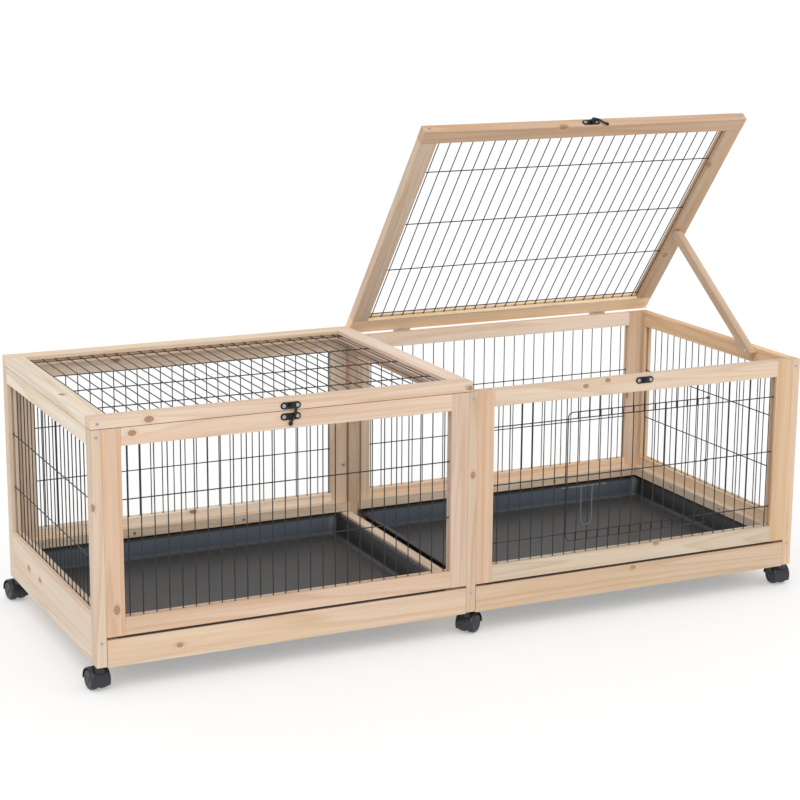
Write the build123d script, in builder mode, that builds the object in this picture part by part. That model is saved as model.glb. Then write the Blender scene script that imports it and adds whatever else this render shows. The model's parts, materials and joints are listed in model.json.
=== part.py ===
from build123d import *
import math
import os

os.makedirs("parts", exist_ok=True)

# A two-bay animal pen. Millimetres, +Z up, +X along the length, front face towards -Y.
# The origin is on the floor under the middle of the frame.

# Whole frame
length = 1520.0
depth = 600.0
frame_height = 443.5
board = 20.0
caster_height = 50.0
round_over = 1.0
wire = 2.0
wire_pitch = 25.4
wire_shift = 0.45 * wire
groove_width = 4.4
groove_depth = 6.0

left = -length / 2
right = length / 2
front = -depth / 2
back = depth / 2
foot = caster_height
frame_top = foot + frame_height
middle = board / 2

# Side panels
side_stile = 29.0
side_bottom_board = 99.3
side_top_rail = 32.5
first_side_wire = 55.4
side_wire_count = 20

# Front and back panels
panel_stile = 36.0
panel_width = length / 2 - board - middle
panel_bottom = foot + 55.4
front_bottom_rail = 33.6
front_top_rail = 33.5
back_bottom_board = 97.0
back_top_rail = 29.5
mesh_wire_count = 26

# Middle frame
post_depth = 36.0
middle_top_rail = 30.0
sill_height = 46.0

# Lids
lid_width = length / 2 - 2.5
lid_thickness = 20.0
lid_gap = 1.0
lid_side_rail = 37.0
lid_front_rail = 32.0
lid_rear_rail = 38.0
lid_wire_count = 27
lid_crosses = (121.0, 272.0, 411.0, 550.0)
lid_screw_inset = 13.0
right_lid_angle = 51.6

# Lid hinges, on an axis just behind the back face
hinge_y = back + 3.2
hinge_z = frame_top + 0.5
hinge_leaf_width = 40.0
leaf_thickness = 1.2
leaf_height = 15.0
leaf_clear = 2.9
knuckle_radius = 2.6
pin_radius = 1.5
pin_clearance = 0.05
knuckle_gap = 0.3
hinge_inset = 130.0
hinge_screw_spacing = 24.0

# Guide battens and tray runners
batten = 20.0
batten_height = 19.0
batten_bottom = foot + 60.0
sill_batten_bottom = foot + 39.0
runner_height = 8.7
runner_front_gap = 4.0
batten_end_gap = 1.0
runner_width = 20.0

# Drawers
drawer_front_height = 52.5
drawer_front_bottom = foot - 2.5
drawer_side_gap = 0.8
tray_wall = 2.5
tray_bottom = foot + 9.0
tray_rim_top = foot + 54.6
tray_flange = 7.0
tray_draft = 10.0
tray_lip_reach = 16.0
tray_corner = 22.0
tray_side_gap = 2.0
tray_back = back - 25.0

# Wire door in the right front mesh
door_wire_gap = 0.8
door_rise = 14.3
door_first_wire = 6
door_last_wire = 19
door_left_inset = 1.6
door_hinge_inset = 4.6
door_cross = 248.6
door_corner = 12.0
hinge_ring_radius = 2.4
hinge_ring_height = 6.0
hinge_ring_clearance = 0.06
hinge_ring_heights = (141.0, 253.4, 355.5)
bolt_radius = 1.5
bolt_ring_radius = 2.8
bolt_ring_width = 4.4
bolt_clearance = 0.06
bolt_z = foot + 228.0
bolt_y = front + 3.4
bolt_left = left + 959.0
bolt_right = left + 1062.0
thumb_loop_left = left + 1005.5
thumb_loop_right = left + 1030.5
thumb_loop_drop = 80.0
thumb_loop_radius = 1.25
thumb_loop_bend = 11.0

# Prop stick of the right lid
prop_thickness = 15.0
prop_width = 20.0
prop_side_gap = 0.5
prop_lid_gap = 0.3
prop_along_lid = 262.0
prop_screw_y = front + 145.0
prop_screw_z = foot + 436.0
prop_tail = 16.0

# Latches, one in the middle of each lid
latch_plate_length = 40.0
latch_plate_height = 13.0
latch_plate_thickness = 1.6
latch_screw_spacing = 27.0
lid_plate_rise = 9.0
catch_drop = 10.5
left_latch_x = left + 381.0
right_latch_x = left + 1143.0
latch_boss_radius = 4.0
catch_bead_height = 3.7
hook_boss_height = 3.9
hook_start = 4.2
hook_thickness = 1.8
hook_pin_radius = 1.5
hook_pin_clearance = 0.06
hook_eye_radius = 4.2
hook_arm_width = 4.6
hook_arm_bend = 4.0
hook_tab_radius = 4.4
hook_arm = ((0.0, 0.0), (9.0, -5.0), (7.5, -17.0), (0.5, -27.0), (-2.0, -33.0))
right_hook_turn = 75.0
hook_end_play = 0.3
pin_head_radius = 3.0
pin_head_height = 1.0

# Screws
screw_head_radius = 3.4
screw_head_height = 1.2
screw_shank_radius = 1.7
frame_screw_length = 50.0
lid_screw_length = 60.0
small_screw_length = 12.0
nail_length = 32.0
shank_hole_radius = 1.9
side_screw_heights = (46.0, 430.0)
middle_screw_heights = (40.0, 430.0)
back_nail_distances = (256.0, 500.0, 1020.0, 1264.0)
side_nail_distances = (211.0, 405.0)
panel_screw_x = left + 742.0
panel_screw_z = foot + 160.0

# Casters
wheel_radius = 20.0
wheel_width = 14.0
wheel_crown = 5.0
web_thickness = 7.0
web_gap = 0.8
hood_inner_radius = 21.4
hood_outer_radius = 23.6
axle_radius = 2.5
caster_trail = 12.0
stem_radius = 4.0
stem_length = 26.0
stem_clearance = 0.05
socket_radius = 6.0
socket_length = 30.0
socket_flange_radius = 8.8
socket_flange_height = 1.2
caster_inset = 20.0
swivel_gap = 0.4
hood_edge = -2.0
web_radius = 8.0
collar_bottom = 34.0
collar_radius = 8.0
axle_clearance = 0.05
caster_headings = {
    ("front", "left"): 98.0,
    ("front", "middle"): 35.0,
    ("front", "right"): 86.0,
    ("back", "left"): 100.0,
    ("back", "middle"): 60.0,
    ("back", "right"): 75.0,
}


def save(block, name):
    block.part.label = name
    export_step(block.part, f"parts/{name}.step")


def upright_plane(x, y, z):
    # Local x runs along the length, local y runs up, the normal points to the front.
    return Plane(origin=(x, y, z), x_dir=(1, 0, 0), z_dir=(0, -1, 0))


def side_plane(x):
    # Local x runs from front to back, local y runs up.
    return Plane(origin=(x, front, foot), x_dir=(0, 1, 0), z_dir=(1, 0, 0))


def lid_point(angle, ahead, rise):
    # A point given by its distance in front of the hinge axis and above it with the lid shut.
    turn = math.radians(angle)
    y = hinge_y - ahead * math.cos(turn) + rise * math.sin(turn)
    z = hinge_z + ahead * math.sin(turn) + rise * math.cos(turn)
    return y, z


lid_underside = frame_top + lid_gap - hinge_z
lid_ahead = hinge_y - back


def lid_plane(x, angle):
    # The lid's middle plane, with its origin at the front left corner of the lid.
    turn = math.radians(angle)
    y, z = lid_point(angle, lid_ahead + depth, lid_underside + lid_thickness / 2)
    return Plane(origin=(x, y, z), x_dir=(1, 0, 0), z_dir=(0, math.sin(turn), math.cos(turn)))


def frame_pieces(plane, width, height, stile, low_rail, high_rail, rails_through=False, feet=()):
    # Two stiles and two rails around one opening, each with a groove for the mesh.
    rail_length = width if rails_through else width - 2 * stile
    stile_bottom = low_rail if rails_through else 0.0
    stile_height = height - low_rail - high_rail if rails_through else height
    opening_height = height - low_rail - high_rail
    opening_centre = (width / 2, low_rail + opening_height / 2)
    stile_y = stile_bottom + stile_height / 2
    with BuildPart() as stiles:
        with BuildSketch(plane):
            with Locations((stile / 2, stile_y), (width - stile / 2, stile_y)):
                Rectangle(stile, stile_height)
        extrude(amount=board / 2, both=True)
        fillet(stiles.edges().filter_by(Axis((0, 0, 0), plane.y_dir)), radius=round_over)
        with BuildSketch(plane):
            with Locations(opening_centre):
                Rectangle(width - 2 * stile + 2 * groove_depth, opening_height + 2 * groove_depth)
        extrude(amount=groove_width / 2, both=True, mode=Mode.SUBTRACT)
        if feet:
            with BuildSketch(Plane.XY.offset(foot)):
                with Locations(*feet):
                    Circle(socket_radius)
            extrude(amount=socket_length, mode=Mode.SUBTRACT)
    with BuildPart() as rails:
        with BuildSketch(plane):
            with Locations((width / 2, low_rail / 2)):
                Rectangle(rail_length, low_rail)
            with Locations((width / 2, height - high_rail / 2)):
                Rectangle(rail_length, high_rail)
        extrude(amount=board / 2, both=True)
        fillet(rails.edges().filter_by(Axis((0, 0, 0), plane.x_dir)), radius=round_over)
        with BuildSketch(plane):
            with Locations(opening_centre):
                Rectangle(width - 2 * stile + 2 * groove_depth, opening_height + 2 * groove_depth)
        extrude(amount=groove_width / 2, both=True, mode=Mode.SUBTRACT)
    return stiles, rails


def mesh_panel(plane, width, height, stile, low_rail, high_rail, uprights, crosses):
    # Welded mesh: uprights in the middle plane, cross wires behind them, ends in the grooves.
    top = height - high_rail + groove_depth
    bottom = low_rail - groove_depth
    first = stile - groove_depth
    last = width - stile + groove_depth
    with BuildPart() as mesh:
        with BuildSketch(plane.offset(wire_shift)):
            with Locations(*[(x, (top + bottom) / 2) for x in uprights]):
                Rectangle(wire, top - bottom)
        extrude(amount=wire / 2, both=True)
        with BuildSketch(plane.offset(-wire_shift)):
            with Locations(*[((first + last) / 2, y) for y in crosses]):
                Rectangle(last - first, wire)
        extrude(amount=wire / 2, both=True)
    return mesh


def wire_row(first, count):
    return [first + wire_pitch * k for k in range(count)]


# Left and right sides
side_height = frame_height
foot_rows = (front + caster_inset, back - caster_inset)
side_wires = wire_row(first_side_wire, side_wire_count)
side_crosses = (195.0, 306.0)
for name, x in (("left_side", left + board / 2), ("right_side", right - board / 2)):
    side_feet = [(x, y) for y in foot_rows]
    side_size = (depth, side_height, side_stile, side_bottom_board, side_top_rail)
    side_stiles, side_rails = frame_pieces(side_plane(x), *side_size, feet=side_feet)
    side_mesh = mesh_panel(side_plane(x), *side_size, side_wires, side_crosses)
    save(side_stiles, name + "_stiles")
    save(side_rails, name + "_rails")
    save(side_mesh, name + "_mesh")

# Middle frame: two posts, a top rail and a sill board
with BuildPart() as middle_posts:
    with BuildSketch(Plane.XY.offset(foot)):
        with Locations((0, front + post_depth / 2), (0, back - post_depth / 2)):
            Rectangle(board, post_depth)
    extrude(amount=frame_height)
    fillet(middle_posts.edges().filter_by(Axis.Z), radius=round_over)
    with BuildSketch(Plane.XY.offset(foot)):
        with Locations(*[(0, y) for y in foot_rows]):
            Circle(socket_radius)
    extrude(amount=socket_length, mode=Mode.SUBTRACT)
save(middle_posts, "middle_posts")

with BuildPart() as middle_rails:
    with BuildSketch(Plane.XZ.offset(-(back - post_depth))):
        with Locations((0, frame_top - middle_top_rail / 2)):
            Rectangle(board, middle_top_rail)
        with Locations((0, foot + sill_height / 2)):
            Rectangle(board, sill_height)
    extrude(amount=depth - 2 * post_depth)
    fillet(middle_rails.edges().filter_by(Axis.Y), radius=round_over)
save(middle_rails, "middle_rails")

# Front and back panels
bay_lefts = {"left": left + board, "right": middle}
bay_centres = {bay: x + panel_width / 2 for bay, x in bay_lefts.items()}
front_height = frame_top - panel_bottom
front_y = front + board / 2
back_y = back - board / 2
first_front_wire = {"left": 48.2, "right": 50.0}
first_back_wire = {"left": 55.7, "right": 42.3}
front_cross_heights = {"left": (196.3, 307.8), "right": (130.7, 248.6, 365.8)}
back_cross_heights = (196.3, 307.8)
lift = panel_bottom - foot

for bay, x in bay_lefts.items():
    plane = upright_plane(x, back_y, foot)
    size = (panel_width, frame_height, panel_stile, back_bottom_board, back_top_rail)
    stiles, rails = frame_pieces(plane, *size)
    mesh = mesh_panel(plane, *size, wire_row(first_back_wire[bay], mesh_wire_count), back_cross_heights)
    save(stiles, bay + "_back_stiles")
    save(rails, bay + "_back_rails")
    save(mesh, bay + "_back_mesh")

for bay, x in bay_lefts.items():
    plane = upright_plane(x, front_y, panel_bottom)
    size = (panel_width, front_height, panel_stile, front_bottom_rail, front_top_rail)
    stiles, rails = frame_pieces(plane, *size)
    save(stiles, bay + "_front_stiles")
    save(rails, bay + "_front_rails")

left_front_plane = upright_plane(bay_lefts["left"], front_y, panel_bottom)
front_size = (panel_width, front_height, panel_stile, front_bottom_rail, front_top_rail)
left_front_mesh = mesh_panel(
    left_front_plane,
    *front_size,
    wire_row(first_front_wire["left"], mesh_wire_count),
    [z - lift for z in front_cross_heights["left"]],
)
save(left_front_mesh, "left_front_mesh")

# The right front mesh has the door's opening, bounded by two uprights and two cross wires
right_front_plane = upright_plane(bay_lefts["right"], front_y, panel_bottom)
right_wires = wire_row(first_front_wire["right"], mesh_wire_count)
right_crosses = [z - lift for z in front_cross_heights["right"]]
opening_left = right_wires[door_first_wire]
opening_right = right_wires[door_last_wire]
opening_low = right_crosses[0]
opening_high = right_crosses[-1]
opening_width = opening_right - opening_left
hinge_wire_x = bay_lefts["right"] + opening_right
hinge_wire_y = front_y - wire_shift
right_front_mesh = mesh_panel(right_front_plane, *front_size, right_wires, right_crosses)
with BuildPart() as right_front_mesh_cut:
    add(right_front_mesh.part)
    with BuildSketch(right_front_plane):
        with Locations(((opening_left + opening_right) / 2, (opening_low + opening_high) / 2)):
            Rectangle(opening_width - wire, opening_high - opening_low - wire)
        with Locations((opening_right, (opening_low + opening_high) / 2)):
            Rectangle(3 * wire, opening_high - opening_low - wire)
    extrude(amount=3 * wire, both=True, mode=Mode.SUBTRACT)
    with BuildSketch(Plane.XY.offset(panel_bottom + opening_low)):
        with Locations((hinge_wire_x, hinge_wire_y)):
            Circle(wire / 2)
    extrude(amount=opening_high - opening_low)
save(right_front_mesh_cut, "right_front_mesh")

# Guide battens above the trays' rims
with BuildPart() as guide_battens:
    with BuildSketch(Plane.XY.offset(batten_bottom)):
        for x in (left + board + batten / 2, right - board - batten / 2):
            with Locations((x, 0)):
                Rectangle(batten, depth - 2 * board)
    extrude(amount=batten_height)
    with BuildSketch(Plane.XY.offset(batten_bottom)):
        for x in (bay_centres["left"] + batten / 2, bay_centres["right"] - batten / 2):
            with Locations((x, back - board - batten / 2)):
                Rectangle(panel_width - batten - 2 * batten_end_gap, batten)
    extrude(amount=batten_height)
    with BuildSketch(Plane.XY.offset(sill_batten_bottom)):
        with Locations((-middle - batten / 2, 0)):
            Rectangle(batten, depth - 2 * post_depth)
    extrude(amount=batten_height)
    fillet(guide_battens.edges().filter_by(Axis.Y).group_by(Axis.Z)[-1], radius=round_over)
save(guide_battens, "guide_battens")

# Strips that carry the trays
runner_length = depth - 2 * board - runner_front_gap
runner_centre = runner_front_gap / 2
with BuildPart() as tray_runners:
    with BuildSketch(Plane.XY.offset(foot)):
        with Locations(
            (left + board + runner_width / 2, runner_centre),
            (right - board - runner_width / 2, runner_centre),
            (-middle - runner_width, runner_centre),
            (middle + runner_width, runner_centre),
        ):
            Rectangle(runner_width, runner_length)
        with Locations((-middle - runner_width / 4, 0), (middle + runner_width / 4, 0)):
            Rectangle(runner_width / 2, depth - 2 * post_depth)
    extrude(amount=runner_height)
save(tray_runners, "tray_runners")

# Lids, the left one shut and the right one propped open
lid_lefts = {"left": left, "right": right - lid_width}
lid_angles = {"left": 0.0, "right": right_lid_angle}
lid_size = (lid_width, depth, lid_side_rail, lid_front_rail, lid_rear_rail)
lid_wires = wire_row((lid_width - (lid_wire_count - 1) * wire_pitch) / 2, lid_wire_count)
for bay, x in lid_lefts.items():
    plane = lid_plane(x, lid_angles[bay])
    lid_side_rails, lid_end_rails = frame_pieces(plane, *lid_size, rails_through=True)
    lid_mesh = mesh_panel(plane, *lid_size, lid_wires, lid_crosses)
    save(lid_side_rails, bay + "_lid_side_rails")
    save(lid_end_rails, bay + "_lid_end_rails")
    save(lid_mesh, bay + "_lid_mesh")


def lid_turned(angle, ahead, rise):
    # A direction given in the shut lid: forwards, and up through the lid.
    turn = math.radians(angle)
    y = -ahead * math.cos(turn) + rise * math.sin(turn)
    z = ahead * math.sin(turn) + rise * math.cos(turn)
    return 0, y, z


def lid_face(bay, x, ahead, rise, facing):
    # A plane on the lid's front face, facing 1, or on its rear edge, facing -1.
    angle = lid_angles[bay]
    y, z = lid_point(angle, ahead, rise)
    return Plane(origin=(x, y, z), x_dir=(facing, 0, 0), z_dir=lid_turned(angle, facing, 0))


# Hinges: the fixed leaves carry the pins, the moving leaves turn on them
hinge_centres = {
    bay: (x + hinge_inset, x + lid_width - hinge_inset) for bay, x in lid_lefts.items()
}
knuckle_length = (hinge_leaf_width - 2 * knuckle_gap) / 3
knuckle_pitch = knuckle_length + knuckle_gap
leaf_middle = lid_ahead - leaf_thickness / 2
leaf_centre = leaf_clear + leaf_height / 2


def hinge_plane(x, angle):
    # Looks along the hinge axis: local x to the back and local y up, turned with the lid.
    turn = math.radians(angle)
    return Plane(
        origin=(x, hinge_y, hinge_z),
        x_dir=(0, math.cos(turn), -math.sin(turn)),
        z_dir=(1, 0, 0),
    )


with BuildPart() as fixed_leaves:
    for x in [centre for pair in hinge_centres.values() for centre in pair]:
        start = x - hinge_leaf_width / 2
        with BuildSketch(hinge_plane(start, 0)):
            with Locations((-leaf_middle, -leaf_centre)):
                Rectangle(leaf_thickness, leaf_height)
        extrude(amount=hinge_leaf_width)
        for step in (0, 2):
            with BuildSketch(hinge_plane(start + step * knuckle_pitch, 0)):
                Circle(knuckle_radius)
                with Locations((-leaf_middle, -leaf_clear / 2)):
                    Rectangle(leaf_thickness, leaf_clear)
            extrude(amount=knuckle_length)
        with BuildSketch(hinge_plane(start, 0)):
            Circle(pin_radius)
        extrude(amount=hinge_leaf_width)
        screw_place = (x, back, hinge_z - leaf_centre)
        with BuildSketch(Plane(origin=screw_place, x_dir=(-1, 0, 0), z_dir=(0, 1, 0))):
            with GridLocations(hinge_screw_spacing, 0, 2, 1):
                Circle(shank_hole_radius)
        extrude(amount=2 * leaf_thickness, mode=Mode.SUBTRACT)
save(fixed_leaves, "hinge_fixed_leaves")

for bay, centres in hinge_centres.items():
    angle = lid_angles[bay]
    with BuildPart() as moving_leaves:
        for x in centres:
            start = x - hinge_leaf_width / 2
            with BuildSketch(hinge_plane(start, angle)):
                with Locations((-leaf_middle, leaf_centre)):
                    Rectangle(leaf_thickness, leaf_height)
            extrude(amount=hinge_leaf_width)
            with BuildSketch(hinge_plane(start + knuckle_pitch, angle)):
                Circle(knuckle_radius)
                with Locations((-leaf_middle, leaf_clear / 2)):
                    Rectangle(leaf_thickness, leaf_clear)
                Circle(pin_radius + pin_clearance, mode=Mode.SUBTRACT)
            extrude(amount=knuckle_length)
            with BuildSketch(lid_face(bay, x, lid_ahead, leaf_centre, -1)):
                with GridLocations(hinge_screw_spacing, 0, 2, 1):
                    Circle(shank_hole_radius)
            extrude(amount=2 * leaf_thickness, mode=Mode.SUBTRACT)
    save(moving_leaves, bay + "_hinge_leaves")

# Latches: a plate with a swinging hook on each lid, a catch plate on the rail below
latch_centres = {"left": left_latch_x, "right": right_latch_x}
hook_turns = {"left": 0.0, "right": right_hook_turn}
plate_ahead = lid_ahead + depth
plate_rise = lid_underside + lid_plate_rise
hook_end = hook_start + hook_thickness
pin_head_start = hook_end + hook_end_play
with BuildPart() as latch_catches:
    for x in latch_centres.values():
        with BuildSketch(upright_plane(x, front, frame_top - catch_drop)):
            SlotOverall(latch_plate_length, latch_plate_height)
            with GridLocations(latch_screw_spacing, 0, 2, 1):
                Circle(shank_hole_radius, mode=Mode.SUBTRACT)
        extrude(amount=latch_plate_thickness)
        with BuildSketch(upright_plane(x, front, frame_top - catch_drop)):
            Circle(latch_boss_radius)
        extrude(amount=catch_bead_height)
save(latch_catches, "latch_catches")

for bay, x in latch_centres.items():
    face = lid_face(bay, x, plate_ahead, plate_rise, 1)
    with BuildPart() as latch_plate:
        with BuildSketch(face):
            SlotOverall(latch_plate_length, latch_plate_height)
            with GridLocations(latch_screw_spacing, 0, 2, 1):
                Circle(shank_hole_radius, mode=Mode.SUBTRACT)
        extrude(amount=latch_plate_thickness)
        with BuildSketch(face):
            Circle(latch_boss_radius)
        extrude(amount=hook_boss_height)
        with BuildSketch(face):
            Circle(hook_pin_radius)
        extrude(amount=pin_head_start)
        with BuildSketch(face.offset(pin_head_start)):
            Circle(pin_head_radius)
        extrude(amount=pin_head_height)
    save(latch_plate, bay + "_latch_plate")

    turn = math.radians(hook_turns[bay])
    up = lid_turned(lid_angles[bay], 0, 1)
    hook_plane = Plane(
        origin=face.offset(hook_start).origin,
        x_dir=(math.cos(turn), math.sin(turn) * up[1], math.sin(turn) * up[2]),
        z_dir=face.z_dir,
    )
    with BuildPart() as latch_hook:
        with BuildSketch(hook_plane):
            with BuildLine():
                FilletPolyline(*hook_arm, radius=hook_arm_bend)
            trace(line_width=hook_arm_width)
            Circle(hook_eye_radius)
            with Locations(hook_arm[-1]):
                Circle(hook_tab_radius)
            Circle(hook_pin_radius + hook_pin_clearance, mode=Mode.SUBTRACT)
        extrude(amount=hook_thickness)
    save(latch_hook, bay + "_latch_hook")


# Screws and nails
def screw_blank(length):
    # A domed wood screw: head above the local plane, shank below it.
    with BuildPart() as blank:
        with BuildSketch(Plane.XY):
            Circle(screw_shank_radius)
        extrude(amount=-length)
        with BuildSketch(Plane.XY):
            Circle(screw_head_radius)
        extrude(amount=screw_head_height)
        fillet(blank.edges().sort_by(Axis.Z)[-1], radius=0.6 * screw_head_height)
    return blank.part


long_screw = screw_blank(frame_screw_length)
lid_screw = screw_blank(lid_screw_length)
small_screw = screw_blank(small_screw_length)
nail = screw_blank(nail_length)
post_screws = {
    left + middle: side_screw_heights,
    0: middle_screw_heights,
    right - middle: side_screw_heights,
}
post_screw_spots = [
    (x, y, foot + z)
    for x, heights in post_screws.items()
    for y in (front, back)
    for z in heights
]
hinge_spots = [
    (x + side * hinge_screw_spacing / 2, back + leaf_thickness, hinge_z - leaf_centre)
    for pair in hinge_centres.values()
    for x in pair
    for side in (-1, 1)
]
catch_spots = [
    (x + side * latch_screw_spacing / 2, front - latch_plate_thickness, frame_top - catch_drop)
    for x in latch_centres.values()
    for side in (-1, 1)
]
nail_z = batten_bottom + batten_height / 2
back_nail_spots = [(left + x, back - board - batten, nail_z) for x in back_nail_distances]
side_nail_rows = [front + y for y in side_nail_distances]
with BuildPart() as frame_screws:
    with Locations(*[Plane(spot, z_dir=(0, math.copysign(1, spot[1]), 0)) for spot in post_screw_spots]):
        add(long_screw)
    with Locations(*[Plane(spot, z_dir=(0, 1, 0)) for spot in hinge_spots]):
        add(small_screw)
    with Locations(*[Plane(spot, z_dir=(0, -1, 0)) for spot in catch_spots]):
        add(small_screw)
    with Locations(Plane((panel_screw_x, back - board, panel_screw_z), z_dir=(0, -1, 0))):
        add(small_screw)
    with Locations(*[Plane(spot, z_dir=(0, -1, 0)) for spot in back_nail_spots]):
        add(nail)
    for side in (-1, 1):
        nail_x = side * (right - board - batten)
        with Locations(*[Plane((nail_x, y, nail_z), z_dir=(-side, 0, 0)) for y in side_nail_rows]):
            add(nail)
save(frame_screws, "frame_screws")

corner_rise = lid_underside + lid_thickness / 2
for bay, x in lid_lefts.items():
    corner_xs = (x + lid_screw_inset, x + lid_width - lid_screw_inset)
    corner_faces = [lid_face(bay, spot, plate_ahead, corner_rise, 1) for spot in corner_xs]
    corner_faces += [lid_face(bay, spot, lid_ahead, corner_rise, -1) for spot in corner_xs]
    plate_faces = [
        lid_face(bay, latch_centres[bay] + shift, plate_ahead + latch_plate_thickness, plate_rise, 1)
        for shift in (-latch_screw_spacing / 2, latch_screw_spacing / 2)
    ]
    leaf_faces = [
        lid_face(bay, centre + shift, lid_ahead - leaf_thickness, leaf_centre, -1)
        for centre in hinge_centres[bay]
        for shift in (-hinge_screw_spacing / 2, hinge_screw_spacing / 2)
    ]
    with BuildPart() as lid_screws:
        with Locations(*corner_faces):
            add(lid_screw)
        with Locations(*plate_faces, *leaf_faces):
            add(small_screw)
    save(lid_screws, bay + "_lid_screws")

# Prop stick: it leans from the right side's top rail to the underside of the raised lid
prop_right = right - board - prop_side_gap
prop_radius = prop_width / 2
prop_top_y, prop_top_z = lid_point(
    right_lid_angle, prop_along_lid, lid_underside - prop_lid_gap - prop_radius
)
prop_reach = math.hypot(prop_top_y - prop_screw_y, prop_top_z - prop_screw_z)
prop_dir = ((prop_top_y - prop_screw_y) / prop_reach, (prop_top_z - prop_screw_z) / prop_reach)
prop_plane = Plane(
    origin=(prop_right, prop_screw_y, prop_screw_z),
    x_dir=(0, prop_dir[0], prop_dir[1]),
    z_dir=(1, 0, 0),
)
with BuildPart() as prop_stick:
    with BuildSketch(prop_plane):
        with Locations(((prop_reach - prop_tail) / 2, 0)):
            Rectangle(prop_reach + prop_tail, prop_width)
        with Locations((prop_reach, 0)):
            Circle(prop_radius)
        Circle(shank_hole_radius, mode=Mode.SUBTRACT)
    extrude(amount=-prop_thickness)
save(prop_stick, "prop_stick")

prop_screw_blank = screw_blank(prop_thickness)
with BuildPart() as prop_screw:
    with Locations(Plane((prop_right - prop_thickness, prop_screw_y, prop_screw_z), z_dir=(-1, 0, 0))):
        add(prop_screw_blank)
save(prop_screw, "prop_screw")

# Drawers: a wooden front with a moulded tray behind it
tray_height = tray_rim_top - tray_bottom
tray_taper = math.degrees(math.atan(tray_draft / tray_height))
drawer_top = drawer_front_bottom + drawer_front_height
tray_front = front + board
tray_depth = tray_back - tray_front
tray_y = (tray_front + tray_back) / 2
tray_edges = {
    "left": (left + board + tray_side_gap, -middle - batten - tray_side_gap),
    "right": (middle + tray_side_gap, right - board - tray_side_gap),
}
for bay, x in bay_lefts.items():
    with BuildPart() as drawer_front:
        with BuildSketch(Plane.XY.offset(drawer_front_bottom)):
            with Locations((x + panel_width / 2, front_y)):
                Rectangle(panel_width - 2 * drawer_side_gap, board)
        extrude(amount=drawer_front_height)
        fillet(drawer_front.edges().filter_by(Axis.X), radius=round_over)
    save(drawer_front, bay + "_drawer_front")

    tray_left, tray_right = tray_edges[bay]
    tray_x = (tray_left + tray_right) / 2
    tray_width = tray_right - tray_left
    body_width = tray_width - 2 * tray_flange
    body_depth = tray_depth - 2 * tray_flange
    with BuildPart() as tray:
        with BuildSketch(Plane.XY.offset(tray_rim_top)):
            with Locations((tray_x, tray_y)):
                RectangleRounded(body_width, body_depth, tray_corner)
        extrude(amount=-tray_height, taper=tray_taper)
        with BuildSketch(Plane.XY.offset(tray_rim_top)):
            with Locations((tray_x, tray_y)):
                RectangleRounded(tray_width, tray_depth, tray_corner)
        extrude(amount=-tray_wall)
        with BuildSketch(Plane.XY.offset(drawer_top)):
            with Locations((tray_x, tray_front + (tray_flange - tray_lip_reach) / 2)):
                Rectangle(tray_width - 2 * tray_corner, tray_lip_reach + tray_flange)
        extrude(amount=tray_rim_top - drawer_top)
        with BuildSketch(Plane.XY.offset(tray_rim_top)):
            with Locations((tray_x, tray_y)):
                RectangleRounded(
                    body_width - 2 * tray_wall, body_depth - 2 * tray_wall, tray_corner - tray_wall
                )
        extrude(amount=tray_wall - tray_height, taper=tray_taper, mode=Mode.SUBTRACT)
    save(tray, bay + "_tray")

# Wire door: a bent wire frame with uprights and one cross wire, hung on the mesh by rings
door_plane = right_front_plane.offset(wire_shift + wire + door_wire_gap)
door_left = opening_left + door_left_inset
door_right = opening_right - door_hinge_inset
door_low = opening_low - door_rise
door_high = opening_high + door_rise
door_centre = ((door_left + door_right) / 2, (door_low + door_high) / 2)
door_wires = right_wires[door_first_wire + 1 : door_last_wire]
ring_planes = [Plane.XY.offset(foot + z - hinge_ring_height / 2) for z in hinge_ring_heights]
bolt_ring_xs = (door_left, right_wires[9])
with BuildPart() as wire_door:
    with BuildSketch(door_plane):
        with Locations(door_centre):
            RectangleRounded(
                door_right - door_left + wire, door_high - door_low + wire, door_corner + wire / 2
            )
            RectangleRounded(
                door_right - door_left - wire,
                door_high - door_low - wire,
                door_corner - wire / 2,
                mode=Mode.SUBTRACT,
            )
        with Locations(*[(x, door_centre[1]) for x in door_wires]):
            Rectangle(wire, door_high - door_low)
        with Locations((door_centre[0], door_cross - lift)):
            Rectangle(door_right - door_left, wire)
    extrude(amount=wire / 2, both=True)
    for ring_plane in ring_planes:
        with BuildSketch(ring_plane):
            with Locations((hinge_wire_x, hinge_wire_y)):
                Circle(hinge_ring_radius)
            with Locations((hinge_wire_x - door_hinge_inset / 2, hinge_wire_y - wire - door_wire_gap)):
                Rectangle(door_hinge_inset, wire)
            with Locations((hinge_wire_x, hinge_wire_y)):
                Circle(wire / 2 + hinge_ring_clearance, mode=Mode.SUBTRACT)
        extrude(amount=hinge_ring_height)
    for ring_x in bolt_ring_xs:
        ring_start = bay_lefts["right"] + ring_x - bolt_ring_width / 2
        with BuildSketch(Plane(origin=(ring_start, bolt_y, bolt_z), z_dir=(1, 0, 0))):
            Circle(bolt_ring_radius)
        extrude(amount=bolt_ring_width)
    for ring_x in bolt_ring_xs:
        ring_start = bay_lefts["right"] + ring_x - bolt_ring_width / 2
        with BuildSketch(Plane(origin=(ring_start, bolt_y, bolt_z), z_dir=(1, 0, 0))):
            Circle(bolt_radius + bolt_clearance)
        extrude(amount=bolt_ring_width, mode=Mode.SUBTRACT)
save(wire_door, "wire_door")

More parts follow.
